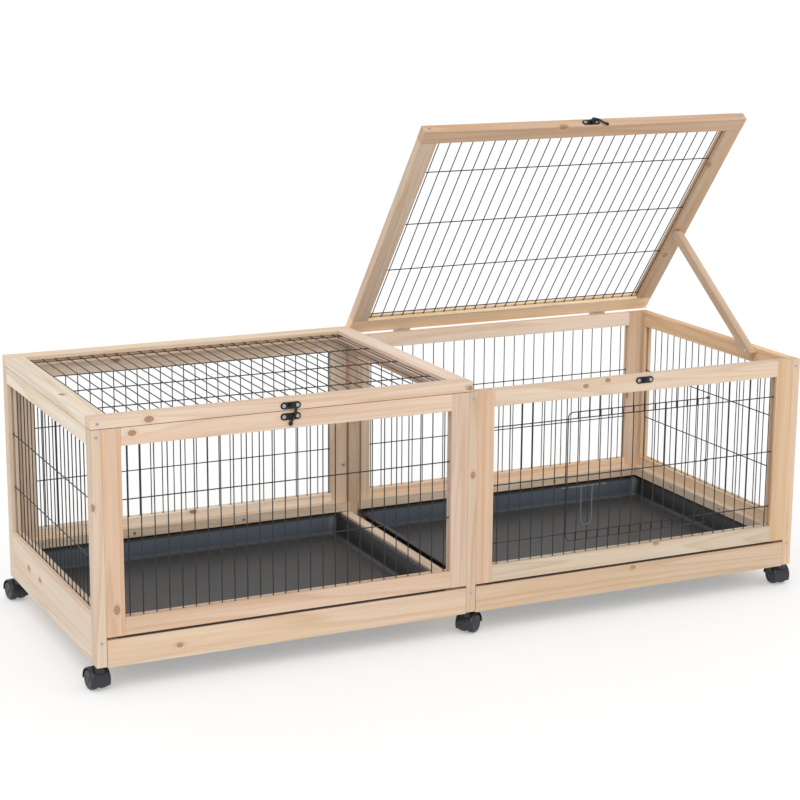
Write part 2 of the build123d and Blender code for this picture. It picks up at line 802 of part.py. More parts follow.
with BuildPart() as door_bolt:
    with BuildSketch(Plane(origin=(bolt_left, bolt_y, bolt_z), z_dir=(1, 0, 0))):
        Circle(bolt_radius)
    extrude(amount=bolt_right - bolt_left)
    with BuildLine(Plane(origin=(0, bolt_y, bolt_z), x_dir=(1, 0, 0), z_dir=(0, -1, 0))) as loop:
        FilletPolyline(
            (thumb_loop_left, 0),
            (thumb_loop_left, -thumb_loop_drop),
            (thumb_loop_right, -thumb_loop_drop),
            (thumb_loop_right, 0),
            radius=thumb_loop_bend,
        )
    with BuildSketch(Plane(origin=loop.line @ 0, z_dir=loop.line % 0)):
        Circle(thumb_loop_radius)
    sweep(path=loop.line)
save(door_bolt, "door_bolt")

# Casters: a socket in the wood, a hood that swivels in it, and twin wheels on one axle
caster_xs = {"left": left + middle, "middle": 0.0, "right": right - middle}
caster_ys = {"front": front + caster_inset, "back": back - caster_inset}
with BuildPart() as caster_sockets:
    with BuildSketch(Plane.XY.offset(foot)):
        with Locations(*[(x, y) for x in caster_xs.values() for y in caster_ys.values()]):
            Circle(socket_radius)
            Circle(stem_radius + stem_clearance, mode=Mode.SUBTRACT)
    extrude(amount=socket_length)
    with BuildSketch(Plane.XY.offset(foot - socket_flange_height)):
        with Locations(*[(x, y) for x in caster_xs.values() for y in caster_ys.values()]):
            Circle(socket_flange_radius)
            Circle(stem_radius + stem_clearance, mode=Mode.SUBTRACT)
    extrude(amount=socket_flange_height)
save(caster_sockets, "caster_sockets")

collar_top = foot - socket_flange_height - swivel_gap
hood_half = web_thickness / 2 + web_gap + wheel_width
for row, y in caster_ys.items():
    for column, x in caster_xs.items():
        heading = math.radians(caster_headings[row, column])
        ahead = (math.cos(heading), math.sin(heading), 0)
        hub = (x + caster_trail * ahead[0], y + caster_trail * ahead[1], wheel_radius)
        axle_plane = Plane(origin=hub, x_dir=ahead, z_dir=(ahead[1], -ahead[0], 0))
        name = "caster_" + row + "_" + column

        with BuildPart() as fork:
            with BuildSketch(Plane.XY.offset(collar_bottom)):
                with Locations((x, y)):
                    Circle(collar_radius)
            extrude(amount=collar_top - collar_bottom)
            with BuildSketch(axle_plane):
                Circle(hood_inner_radius)
            extrude(amount=hood_half, both=True, mode=Mode.SUBTRACT)
            with BuildSketch(axle_plane):
                Circle(hood_outer_radius)
                Circle(hood_inner_radius, mode=Mode.SUBTRACT)
                with Locations((0, -hood_outer_radius - hood_edge)):
                    Rectangle(3 * hood_outer_radius, 2 * hood_outer_radius, mode=Mode.SUBTRACT)
            extrude(amount=hood_half, both=True)
            with BuildSketch(axle_plane):
                Circle(web_radius)
                with Locations((-caster_trail / 2, hood_outer_radius / 2)):
                    Rectangle(caster_trail + 2 * web_radius, hood_outer_radius)
                Circle(hood_outer_radius, mode=Mode.INTERSECT)
            extrude(amount=web_thickness / 2, both=True)
            with BuildSketch(Plane.XY.offset(collar_top)):
                with Locations((x, y)):
                    Circle(stem_radius)
            extrude(amount=stem_length)
            with BuildSketch(axle_plane):
                Circle(axle_radius + axle_clearance)
            extrude(amount=web_thickness, both=True, mode=Mode.SUBTRACT)
        save(fork, name + "_fork")

        with BuildPart() as wheels:
            for side in (-1, 1):
                with BuildSketch(axle_plane.offset(side * (web_thickness / 2 + web_gap))):
                    Circle(wheel_radius)
                extrude(amount=side * wheel_width)
            rims = wheels.edges().filter_by(GeomType.CIRCLE).sort_by(Axis(hub, axle_plane.z_dir))
            fillet([rims[0], rims[-1]], radius=wheel_crown)
            with BuildSketch(axle_plane):
                Circle(axle_radius)
            extrude(amount=hood_half - wheel_crown / 2, both=True)
        save(wheels, name + "_wheels")
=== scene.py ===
import json
import math
import bmesh
import bpy
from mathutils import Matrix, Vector


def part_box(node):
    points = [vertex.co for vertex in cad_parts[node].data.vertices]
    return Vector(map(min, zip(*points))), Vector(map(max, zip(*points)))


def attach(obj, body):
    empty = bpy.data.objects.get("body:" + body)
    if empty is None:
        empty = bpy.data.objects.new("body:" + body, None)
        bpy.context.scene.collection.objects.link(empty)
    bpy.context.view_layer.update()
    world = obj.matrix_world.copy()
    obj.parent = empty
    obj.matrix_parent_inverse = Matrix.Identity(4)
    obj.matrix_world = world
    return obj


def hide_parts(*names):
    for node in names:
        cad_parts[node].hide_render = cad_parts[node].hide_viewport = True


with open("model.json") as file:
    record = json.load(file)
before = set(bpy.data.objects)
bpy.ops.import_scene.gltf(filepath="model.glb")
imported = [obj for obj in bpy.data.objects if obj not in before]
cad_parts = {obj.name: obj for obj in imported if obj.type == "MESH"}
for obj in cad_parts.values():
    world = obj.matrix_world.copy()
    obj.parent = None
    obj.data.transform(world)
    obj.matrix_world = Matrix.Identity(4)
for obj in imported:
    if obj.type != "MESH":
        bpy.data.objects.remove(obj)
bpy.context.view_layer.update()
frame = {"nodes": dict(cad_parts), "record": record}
nodes = frame["nodes"]
print("frame loaded")

# the frame's own lines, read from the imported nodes
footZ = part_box("left_side_stiles")[0].z
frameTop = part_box("left_side_stiles")[1].z
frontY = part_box("left_front_stiles")[0].y
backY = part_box("left_back_stiles")[1].y
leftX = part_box("left_side_stiles")[0].x
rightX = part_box("right_side_stiles")[1].x
board = 0.020
mm = 0.001
across, upright, inward = Vector((1, 0, 0)), Vector((0, 0, 1)), Vector((0, 1, 0))

camera = {
    "place": (-1.76746, -3.69185, 1.37110),
    "turn": (76.83, -0.36, -25.32),
    "lens": 92.14,
    "sensor": 36.0,
    "reach": 100.0,
}
stage = {
    "floorSize": 60.0,
    "floorColor": (0.66, 0.66, 0.66),
    "floorGlow": 0.32,
    "floorRoughness": 0.9,
    "sky": 0.82,
    "sunPower": 1.1,
    "sunSoftness": 50.0,
    "sunTurn": (45.0, 0.0, -25.0),
}


def makeCamera():
    data = bpy.data.cameras.new("camera")
    data.lens = camera["lens"]
    data.sensor_width = camera["sensor"]
    data.clip_end = camera["reach"]
    eye = bpy.data.objects.new("camera", data)
    bpy.context.scene.collection.objects.link(eye)
    eye.location = camera["place"]
    eye.rotation_euler = [math.radians(a) for a in camera["turn"]]
    bpy.context.scene.camera = eye


def newMaterial(name):
    material = bpy.data.materials.new(name)
    material.use_nodes = True
    tree = material.node_tree
    return material, tree, tree.nodes["Principled BSDF"]


def makeStage():
    scene = bpy.context.scene
    scene.view_settings.view_transform = "Standard"
    bpy.ops.mesh.primitive_plane_add(size=stage["floorSize"], location=(0, 0, 0))
    floor = bpy.context.object
    floor.name = "floor"
    material, _, shader = newMaterial("floorPaper")
    shader.inputs["Base Color"].default_value = (*stage["floorColor"], 1)
    shader.inputs["Roughness"].default_value = stage["floorRoughness"]
    shader.inputs["Emission Color"].default_value = (1, 1, 1, 1)
    shader.inputs["Emission Strength"].default_value = stage["floorGlow"]
    floor.data.materials.append(material)
    world = scene.world or bpy.data.worlds.new("studio")
    scene.world = world
    world.use_nodes = True
    sky = world.node_tree.nodes
    links = world.node_tree.links
    sky.clear()
    output = sky.new("ShaderNodeOutputWorld")
    mix = sky.new("ShaderNodeMixShader")
    soft = sky.new("ShaderNodeBackground")
    soft.inputs["Strength"].default_value = stage["sky"]
    white = sky.new("ShaderNodeBackground")
    path = sky.new("ShaderNodeLightPath")
    links.new(path.outputs["Is Camera Ray"], mix.inputs[0])
    links.new(soft.outputs[0], mix.inputs[1])
    links.new(white.outputs[0], mix.inputs[2])
    links.new(mix.outputs[0], output.inputs[0])
    for ground in (soft, white):
        ground.inputs["Color"].default_value = (1, 1, 1, 1)
    sun = bpy.data.lights.new("window", "SUN")
    sun.energy = stage["sunPower"]
    sun.angle = math.radians(stage["sunSoftness"])
    lamp = bpy.data.objects.new("window", sun)
    scene.collection.objects.link(lamp)
    lamp.rotation_euler = [math.radians(a) for a in stage["sunTurn"]]
    print("stage set")


def addNode(tree, kind, settings=None, values=None):
    node = tree.nodes.new(kind)
    for key, value in (settings or {}).items():
        setattr(node, key, value)
    for key, value in (values or {}).items():
        node.inputs[key].default_value = value
    return node


def scaledPlace(tree, turn, scale, shift=(0, 0, 0)):
    # turned first, then stretched, so a grain can run any way
    place = addNode(tree, "ShaderNodeTexCoord")
    turned = addNode(tree, "ShaderNodeMapping", None, {"Rotation": turn})
    stretched = addNode(tree, "ShaderNodeMapping", None, {"Scale": scale, "Location": shift})
    tree.links.new(place.outputs["Object"], turned.inputs["Vector"])
    tree.links.new(turned.outputs[0], stretched.inputs["Vector"])
    return stretched.outputs[0]


def blendColors(tree, way, share, first, second):
    # share, first and second are sockets or plain values
    mix = addNode(tree, "ShaderNodeMix", {"data_type": "RGBA", "blend_type": way})
    for socket, value in ((mix.inputs[0], share), (mix.inputs[6], first), (mix.inputs[7], second)):
        if isinstance(value, bpy.types.NodeSocket):
            tree.links.new(value, socket)
        else:
            socket.default_value = value
    return mix.outputs[2]


def calculate(tree, operation, first, second=0.0):
    node = addNode(tree, "ShaderNodeMath", {"operation": operation})
    for socket, value in ((node.inputs[0], first), (node.inputs[1], second)):
        if isinstance(value, bpy.types.NodeSocket):
            tree.links.new(value, socket)
        else:
            socket.default_value = value
    return node.outputs[0]


def ramp(tree, source, stops):
    node = addNode(tree, "ShaderNodeValToRGB")
    elements = node.color_ramp.elements
    while len(elements) < len(stops):
        elements.new(0.5)
    for element, (position, color) in zip(elements, stops):
        element.position = position
        element.color = (*color, 1) if len(color) == 3 else (color[0],) * 3 + (1,)
    tree.links.new(source, node.inputs[0])
    return node.outputs[0]


def noiseOn(tree, vector, detail, roughness=0.5, distortion=0.0):
    values = {"Scale": 1.0, "Detail": detail, "Roughness": roughness, "Distortion": distortion}
    noise = addNode(tree, "ShaderNodeTexNoise", None, values)
    tree.links.new(vector, noise.inputs["Vector"])
    return noise.outputs["Fac"]


def addBump(tree, shader, height, strength, distance):
    bump = addNode(tree, "ShaderNodeBump", None, {"Strength": strength, "Distance": distance})
    tree.links.new(height, bump.inputs["Height"])
    tree.links.new(bump.outputs[0], shader.inputs["Normal"])


pine = {
    "lateTint": (0.83, 0.70, 0.56),
    "lateShare": 0.55,
    "rings": 9.0,
    "ringStretch": (0.7, 15.0, 15.0),
    "ringNoise": (1.2, 0.4, 0.3),
    "ringStops": ((0.0, (0.0,)), (0.55, (0.25,)), (0.88, (1.0,)), (1.0, (0.0,))),
    "streakStretch": (2.2, 75.0, 75.0),
    "streakDetail": 3.0,
    "streakStops": ((0.36, (1.0, 0.935, 0.885)), (0.64, (1.02, 1.03, 1.06))),
    "blotchStretch": (1.3, 11.0, 11.0),
    "blotchDetail": 2.0,
    "blotchStops": ((0.34, (0.94,)), (0.66, (1.05,))),
    "fibreStretch": (9.0, 520.0, 520.0),
    "fibreNoise": (5.0, 0.6),
    "fibreStops": ((0.34, (0.93,)), (0.64, (1.04,))),
    "roughness": 0.62,
    "specular": 0.22,
    "bump": (0.35, 0.0004),
    "knotLonger": 0.32,
    "knotReach": 0.38,
    "knotLift": 0.9,
    "haloStops": ((0.10, (1.0,)), (0.95, (0.0,))),
    "coreScale": 0.5,
    "coreStops": ((0.44, (1.0,)), (0.66, (0.0,))),
    "hazeShare": 0.5,
    "knotStops": (
        (0.0, (0.20, 0.105, 0.055)),
        (0.16, (0.40, 0.235, 0.14)),
        (0.34, (0.46, 0.28, 0.17)),
        (0.46, (0.24, 0.12, 0.062)),
        (0.60, (0.38, 0.22, 0.13)),
    ),
    "knotHaze": (0.80, 0.66, 0.52, 1),
}


def pineWood(name, along, shift, toneAndShade, knots):
    # contour lines of a stretched noise make the rings, and each knot bends them round itself
    material, tree, shader = newMaterial(name)
    turn = Vector(along).normalized().rotation_difference(across).to_euler()
    field = noiseOn(tree, scaledPlace(tree, turn, pine["ringStretch"], shift), *pine["ringNoise"])
    phase = calculate(tree, "MULTIPLY", field, pine["rings"])
    masks = []
    for x, y, z, radius in knots:
        size = radius * mm
        stretch = [(1 - pine["knotLonger"] * abs(a)) / size for a in Vector(along).normalized()]
        place = [-c * mm * s for c, s in zip((x, y, z), stretch)]
        length = addNode(tree, "ShaderNodeVectorMath", {"operation": "LENGTH"})
        tree.links.new(scaledPlace(tree, (0, 0, 0), stretch, place), length.inputs[0])
        distance = length.outputs["Value"]
        near = calculate(tree, "MULTIPLY", distance, pine["knotReach"])
        halo = ramp(tree, near, pine["haloStops"])
        phase = calculate(tree, "ADD", phase, calculate(tree, "MULTIPLY", halo, pine["knotLift"]))
        inner = calculate(tree, "MULTIPLY", distance, pine["coreScale"])
        masks.append((inner, halo))
    lines = ramp(tree, calculate(tree, "FRACT", phase), pine["ringStops"])
    share = calculate(tree, "MULTIPLY", lines, pine["lateShare"])
    # the base tone carries painted light and shade as well as the wood's own colour
    late = tuple(t * c for t, c in zip(toneAndShade, pine["lateTint"]))
    color = blendColors(tree, "MIX", share, (*toneAndShade, 1), (*late, 1))
    for tint in ("streak", "blotch"):
        stretched = scaledPlace(tree, turn, pine[tint + "Stretch"], shift)
        cloud = noiseOn(tree, stretched, pine[tint + "Detail"])
        color = blendColors(tree, "MULTIPLY", 1.0, color, ramp(tree, cloud, pine[tint + "Stops"]))
    fibre = noiseOn(tree, scaledPlace(tree, turn, pine["fibreStretch"], shift), *pine["fibreNoise"])
    color = blendColors(tree, "MULTIPLY", 1.0, color, ramp(tree, fibre, pine["fibreStops"]))
    for inner, halo in masks:
        haze = calculate(tree, "MULTIPLY", halo, pine["hazeShare"])
        color = blendColors(tree, "MULTIPLY", haze, color, pine["knotHaze"])
        core = ramp(tree, inner, pine["coreStops"])
        color = blendColors(tree, "MIX", core, color, ramp(tree, inner, pine["knotStops"]))
    tree.links.new(color, shader.inputs["Base Color"])
    shader.inputs["Roughness"].default_value = pine["roughness"]
    shader.inputs["Specular IOR Level"].default_value = pine["specular"]
    addBump(tree, shader, fibre, *pine["bump"])
    return material


speck = {"from": 0.3, "to": 0.7, "detail": 4.0, "roughSpread": 0.15, "bump": 0.4}


def speckled(name, color, spread, roughness, metallic, grain, bumpDepth):
    # one base colour, mottled finely, with a matching bump
    material, tree, shader = newMaterial(name)
    noise = addNode(tree, "ShaderNodeTexNoise", None, {"Scale": grain, "Detail": speck["detail"]})
    place = addNode(tree, "ShaderNodeTexCoord")
    tree.links.new(place.outputs["Object"], noise.inputs["Vector"])
    start, stop, change = speck["from"], speck["to"], speck["roughSpread"]
    darker = tuple(c * (1 - spread) for c in color)
    lighter = tuple(min(1, c * (1 + spread)) for c in color)
    mottle = ramp(tree, noise.outputs["Fac"], ((start, darker), (stop, lighter)))
    tree.links.new(mottle, shader.inputs["Base Color"])
    smoother, rougher = (roughness * (1 - change),), (min(1, roughness * (1 + change)),)
    rough = ramp(tree, noise.outputs["Fac"], ((start, smoother), (stop, rougher)))
    tree.links.new(rough, shader.inputs["Roughness"])
    shader.inputs["Metallic"].default_value = metallic
    addBump(tree, shader, noise.outputs["Fac"], speck["bump"], bumpDepth)
    return material


trayFinish = {
    "floor": (0.046, 0.046, 0.047),
    # the walls: the plastic's own blue-grey with painted sheen, lighter than the floor
    "wall": (0.050, 0.064, 0.088),
    # painted shadow: the black line along the tray's top where the battens shade it
    "paintedRimShadow": (0.009, 0.009, 0.010),
    # painted shade for the walls that face left
    "paintedShade": (0.016, 0.017, 0.020),
    "turnZ": (0.0620, 0.0700),
    "paintedRimShadowZ": (0.0985, 0.0998),
    "paintedShadeX": (-0.3, -0.9),
    "roughness": 0.45,
    "pebbleScale": (1400.0, 1400.0, 1400.0),
    "pebbleDetail": 3.0,
    "pebbleStops": ((0.3, (0.90,)), (0.7, (1.10,))),
    "cloudScale": (7.0, 7.0, 30.0),
    "cloudDetail": 2.0,
    "cloudStops": ((0.3, (0.92,)), (0.7, (1.08,))),
    "bump": (0.35, 0.00012),
}


def fade(tree, source, limits):
    # nought at the first limit and one at the second
    values = {"From Min": limits[0], "From Max": limits[1]}
    node = addNode(tree, "ShaderNodeMapRange", None, values)
    tree.links.new(source, node.inputs["Value"])
    return node.outputs[0]


def mouldedPlastic():
    # pebbled all over, with walls bluer than the floor (the plastic's blue-grey with painted sheen), a top
    # band painted black as a shadow line, and walls facing left painted dark as shade
    material, tree, shader = newMaterial("mouldedTray")
    place = addNode(tree, "ShaderNodeTexCoord")
    parts = addNode(tree, "ShaderNodeSeparateXYZ")
    facing = addNode(tree, "ShaderNodeSeparateXYZ")
    tree.links.new(place.outputs["Object"], parts.inputs[0])
    tree.links.new(place.outputs["Normal"], facing.inputs[0])
    floor, wall, paintedRimShadow, paintedShade = ((*trayFinish[part], 1) for part in ("floor", "wall", "paintedRimShadow", "paintedShade"))
    # walls facing left are blended to a darker colour as painted shade
    wall = blendColors(tree, "MIX", fade(tree, facing.outputs["X"], trayFinish["paintedShadeX"]), wall, paintedShade)
    # below the turn the floor colour, above it the walls' blue-grey with painted sheen
    color = blendColors(tree, "MIX", fade(tree, parts.outputs["Z"], trayFinish["turnZ"]), floor, wall)
    # the top band is painted black as a shadow line
    color = blendColors(tree, "MIX", fade(tree, parts.outputs["Z"], trayFinish["paintedRimShadowZ"]), color, paintedRimShadow)
    grains = {}
    for kind in ("pebble", "cloud"):
        stretched = scaledPlace(tree, (0, 0, 0), trayFinish[kind + "Scale"])
        grains[kind] = noiseOn(tree, stretched, trayFinish[kind + "Detail"])
        tint = ramp(tree, grains[kind], trayFinish[kind + "Stops"])
        color = blendColors(tree, "MULTIPLY", 1.0, color, tint)
    tree.links.new(color, shader.inputs["Base Color"])
    shader.inputs["Roughness"].default_value = trayFinish["roughness"]
    addBump(tree, shader, grains["pebble"], *trayFinish["bump"])
    return material


lidTurn = math.radians(51.6)
lidDown = (0, math.cos(lidTurn), -math.sin(lidTurn))
# the prop stick's two ends as it stands, for the run of its grain
propLow = Vector((0, -0.155, 0.486))
propHigh = Vector((0, 0.1328, 0.6932))
grainAlong = {
    "x": (1, 0, 0),
    "y": (0, 1, 0),
    "z": (0, 0, 1),
    "lid": lidDown,
    "prop": tuple(propHigh - propLow),
}

# each node's grain, the axis that parts its boards, and the tone of every board in that order; each tone is
# the wood's own colour with painted light and shade, set paler or darker for how light falls on that board in
# this one view
boards = {
    "left_side_stiles": ("z", 1, ((0.66, 0.54, 0.42), (0.70, 0.60, 0.48))),
    "left_side_rails": ("y", 2, ((0.71, 0.60, 0.49), (0.78, 0.71, 0.59))),
    "right_side_stiles": ("z", 1, ((0.70, 0.52, 0.36), (0.72, 0.53, 0.36))),
    "right_side_rails": ("y", 2, ((0.80, 0.62, 0.43), (0.83, 0.58, 0.365))),
    "middle_posts": ("z", 1, ((0.645, 0.51, 0.37), (0.64, 0.48, 0.35))),
    "middle_rails": ("y", 2, ((0.52, 0.44, 0.34), (0.64, 0.48, 0.35))),
    "left_front_stiles": ("z", 0, ((0.665, 0.47, 0.33), (0.62, 0.48, 0.38))),
    "left_front_rails": ("x", 2, ((0.66, 0.49, 0.36), (0.735, 0.58, 0.45))),
    "right_front_stiles": ("z", 0, ((0.63, 0.46, 0.33), (0.645, 0.47, 0.31))),
    "right_front_rails": ("x", 2, ((0.59, 0.50, 0.39), (0.72, 0.59, 0.46))),
    "left_back_stiles": ("z", 0, ((0.72, 0.58, 0.44), (0.74, 0.60, 0.46))),
    "left_back_rails": ("x", 2, ((0.92, 0.80, 0.66), (0.82, 0.68, 0.54))),
    "right_back_stiles": ("z", 0, ((0.76, 0.61, 0.46), (0.74, 0.56, 0.40))),
    "right_back_rails": ("x", 2, ((0.86, 0.66, 0.48), (0.85, 0.70, 0.56))),
    "left_lid_side_rails": ("y", 0, ((0.76, 0.69, 0.57), (0.81, 0.68, 0.58))),
    "left_lid_end_rails": ("x", 1, ((0.72, 0.57, 0.44), (0.77, 0.62, 0.47))),
    "right_lid_side_rails": ("lid", 0, ((0.68, 0.55, 0.42), (0.57, 0.42, 0.28))),
    "right_lid_end_rails": ("x", 1, ((0.60, 0.43, 0.30), (0.93, 0.75, 0.53))),
    "guide_battens": ("x", 0, ((0.72, 0.60, 0.46), (0.70, 0.58, 0.45))),
    "tray_runners": ("y", 0, ((0.66, 0.50, 0.36),)),
    "left_drawer_front": ("x", 0, ((0.67, 0.525, 0.385),)),
    "right_drawer_front": ("x", 0, ((0.62, 0.47, 0.33),)),
    "prop_stick": ("prop", 0, ((0.62, 0.46, 0.32),)),
}

# knots by node and board: place and radius in millimetres
boardKnots = {
    ("left_lid_end_rails", 0): ((-651.3, -300, 504.2, 5.2), (-8.6, -300, 501.8, 4.0)),
    ("left_front_rails", 1): ((-683.4, -300, 481.8, 4.6),),
    ("left_front_stiles", 0): ((-719.7, -300, 155.9, 5.2),),
    ("left_drawer_front", 0): ((-601.4, -300, 71.4, 4.0),),
    ("right_front_rails", 1): ((248.3, -300, 482.3, 4.0), (298.2, -300, 489.9, 4.0)),
    ("right_front_rails", 0): ((423.9, -300, 138.5, 4.0),),
    ("right_drawer_front", 0): ((370.8, -300, 93.3, 4.0),),
    ("middle_posts", 0): ((0.7, -300, 328.4, 4.0),),
    ("left_side_stiles", 0): ((-760, -297.5, 351.6, 4.6),),
    ("left_side_rails", 0): ((-760, 151.6, 107.9, 4.6), (-760, 71.3, 106.8, 4.6)),
    ("left_lid_side_rails", 0): ((-750, -92.2, 514.5, 4.6),),
    ("left_back_rails", 1): ((-528.5, 280, 487.6, 4.6),),
    ("left_back_rails", 0): ((-367.1, 280, 145.0, 4.6),),
    ("right_back_stiles", 1): ((701.5, 280, 298.9, 5.2),),
    ("right_lid_end_rails", 0): ((316.2, -70.6, 966.4, 5.2),),
    ("right_lid_end_rails", 1): ((447.0, 267.7, 539.6, 4.2), (645.6, 272.5, 533.6, 4.2)),
    ("right_lid_side_rails", 1): ((725.4, 11.7, 862.5, 4.6), (735.6, 188.3, 639.7, 4.6)),
}

finishes = {
    "black_wire": speckled("coatedWire", (0.012, 0.0125, 0.014), 0.25, 0.42, 0.0, 900.0, 0.00005),
    "black_latch": speckled("blackedSteel", (0.014, 0.014, 0.016), 0.30, 0.26, 0.4, 700.0, 0.00005),
    "steel": speckled("zincedSteel", (0.58, 0.58, 0.57), 0.10, 0.34, 1.0, 500.0, 0.00003),
    "tray_plastic": mouldedPlastic(),
    "black_plastic": speckled("casterShell", (0.017, 0.019, 0.025), 0.15, 0.24, 0.0, 1100.0, 0.00003),
    "wheel_plastic": speckled("casterTread", (0.020, 0.022, 0.027), 0.15, 0.42, 0.0, 800.0, 0.00005),
    "bolt": speckled("boltRod", (0.15, 0.152, 0.16), 0.15, 0.25, 0.9, 700.0, 0.00003),
    # painted shade for the screws' cross recesses
    "recess": speckled("paintedRecessShade", (0.075, 0.073, 0.070), 0.20, 0.60, 0.3, 900.0, 0.00003),
}


battens = {"sideReach": 2 * board + mm, "sillX": (-31.2 * mm, -9.5 * mm)}
# where each board is cut from the log: the step from one node to the next, and the first place
cuts = {"step": (0.37, 1.3, 2.1), "first": (0.0, 0.4, 0.3), "second": 0.45}


def runsAcross(center):
    # the guide battens at the sides and along the sill run from front to back
    sillLeft, sillRight = battens["sillX"]
    return abs(center.x) > rightX - battens["sideReach"] or sillLeft < center.x < sillRight


def dressNodes():
    # every carried-over node gets its finish, each board its own cut of the log
    for index, entry in enumerate(frame["record"]["subparts"]):
        node, slot = entry["node"], entry["material_slot"]
        data = nodes[node].data
        data.materials.clear()
        if slot != "pine":
            data.materials.append(finishes[slot])
            continue
        grain, axis, tonesAndShade = boards[node]
        # each tone is the board's colour with painted light and shade
        for k, toneAndShade in enumerate(tonesAndShade):
            cut = index + cuts["second"] * k
            shift = tuple(step * cut + first for step, first in zip(cuts["step"], cuts["first"]))
            way = "y" if node == "guide_battens" and k else grain
            knots = boardKnots.get((node, k), ())
            data.materials.append(pineWood(f"pine_{node}_{k}", grainAlong[way], shift, toneAndShade, knots))
        low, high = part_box(node)
        middle = (low[axis] + high[axis]) / 2
        if len(tonesAndShade) > 1:
            for face in data.polygons:
                second = runsAcross(face.center) if node == "guide_battens" else face.center[axis] > middle
                face.material_index = int(second)
    print("boards dressed")


def skin(rings, wrap=False, loop=True, caps=False):
    # joins rings of points into one surface
    count = len(rings[0])
    verts = [point for ring in rings for point in ring]
    faces = []
    for k in range(len(rings) - (0 if wrap else 1)):
        a, b = k * count, (k + 1) % len(rings) * count
        for j in range(count if loop else count - 1):
            i = (j + 1) % count
            faces.append((a + j, a + i, b + i, b + j))
    if caps:
        faces.append(tuple(range(count)))
        faces.append(tuple(range(len(verts) - count, len(verts))))
    return verts, faces


def spun(profile, origin, axis, ahead, up, steps, start=0.0, stop=360.0, loop=False):
    # turns a profile of (along the axis, radius) pairs about the axis
    whole = stop - start == 360.0
    rings = []
    for k in range(steps if whole else steps + 1):
        a = math.radians(start + (stop - start) * k / steps)
        out = ahead * math.cos(a) + up * math.sin(a)
        rings.append([origin + axis * s * mm + out * r * mm for s, r in profile])
    return skin(rings, wrap=whole, loop=loop, caps=not whole)


smoothing = {"moulded": 38, "wire": 50}


def pick(piece):
    bpy.ops.object.select_all(action="DESELECT")
    piece.select_set(True)
    bpy.context.view_layer.objects.active = piece


def settle(piece, body, node, slot, finish, angle):
    # shades the picked piece, gives it its finish and ties it to its body
    bpy.ops.object.shade_smooth_by_angle(angle=math.radians(angle))
    piece.data.materials.clear()
    piece.data.materials.append(finishes[finish or slot])
    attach(piece, body)
    if node:
        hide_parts(node)


def meshPiece(name, parts, body, node, slot, finish=None):
    # one object out of several closed surfaces
    verts, faces = [], []
    for points, sides in parts:
        start = len(verts)
        verts += [tuple(p) for p in points]
        faces += [tuple(start + i for i in side) for side in sides]
    data = bpy.data.meshes.new(name)
    data.from_pydata(verts, [], faces)
    work = bmesh.new()
    work.from_mesh(data)
    bmesh.ops.remove_doubles(work, verts=work.verts, dist=1e-6)
    bmesh.ops.recalc_face_normals(work, faces=work.faces)
    work.to_mesh(data)
    work.free()
    piece = bpy.data.objects.new(name, data)
    bpy.context.scene.collection.objects.link(piece)
    pick(piece)
    settle(piece, body, node, slot, finish, smoothing["moulded"])


def roundedPath(points, radius, steps=6):
    # replaces each inner corner with a short arc of small steps
    path = [Vector(points[0])]
    for k in range(1, len(points) - 1):
        here = Vector(points[k])
        start = here + (Vector(points[k - 1]) - here).normalized() * radius
        end = here + (Vector(points[k + 1]) - here).normalized() * radius
        for s in range(steps + 1):
            t = s / steps
            path.append(start * (1 - t) ** 2 + here * 2 * t * (1 - t) + end * t * t)
    return path + [Vector(points[-1])]


def wirePiece(name, runs, radius, body, node, slot="black_wire", finish=None):
    # runs is a list of point lists, each one drawn as a round wire
    curve = bpy.data.curves.new(name, "CURVE")
    curve.dimensions = "3D"
    curve.bevel_depth = radius
    curve.bevel_resolution = 1
    curve.use_fill_caps = True
    for run in runs:
        spline = curve.splines.new("POLY")
        spline.points.add(len(run) - 1)
        for point, place in zip(spline.points, run):
            point.co = (*place, 1)
    wire = bpy.data.objects.new(name, curve)
    bpy.context.scene.collection.objects.link(wire)
    pick(wire)
    bpy.ops.object.convert(target="MESH")
    settle(bpy.context.object, body, node, slot, finish, smoothing["wire"])


mesh = {
    "half": 1.0 * mm,
    "drawn": 1.15 * mm,
    "pitch": 25.4 * mm,
    "shift": 0.9 * mm,
    "tuck": 6.0 * mm,
    "count": 26,
}


def meshRuns(origin, along, up, span, rise, uprights, crosses):
    # uprights on one side of the cross wires, all ends run into the boards
    origin = Vector(origin)
    normal = Vector(along).cross(Vector(up))
    runs = []
    for x in uprights:
        foot = origin + Vector(along) * x + normal * mesh["shift"]
        runs.append([foot + Vector(up) * rise[0], foot + Vector(up) * rise[1]])
    for y in crosses:
        start = origin + Vector(up) * y - normal * mesh["shift"]
        runs.append([start + Vector(along) * span[0], start + Vector(along) * span[1]])
    return runs


def wireRow(first, count):
    return [first + mesh["pitch"] * k for k in range(count)]


panel = {
    "width": 730 * mm,
    "stile": 36 * mm,
    "backRise": (97.0 * mm, 414.0 * mm),
    "frontRise": (89.0 * mm, 410.0 * mm),
    "sideRise": (99.3 * mm, 411.0 * mm),
    "sideSpan": (29 * mm, 571 * mm),
    "backFirst": {"left": 55.7 * mm, "right": 42.3 * mm},
    "frontFirst": {"left": 48.2 * mm, "right": 50.0 * mm},
    "sideFirst": 55.4 * mm,
    "sideCount": 20,
    "crosses": (196.3 * mm, 307.8 * mm),
    "sideCrosses": (195.0 * mm, 306.0 * mm),
}
bayLeft = {"left": leftX + board, "right": board / 2}


def tucked(low, high):
    return low - mesh["tuck"], high + mesh["tuck"]


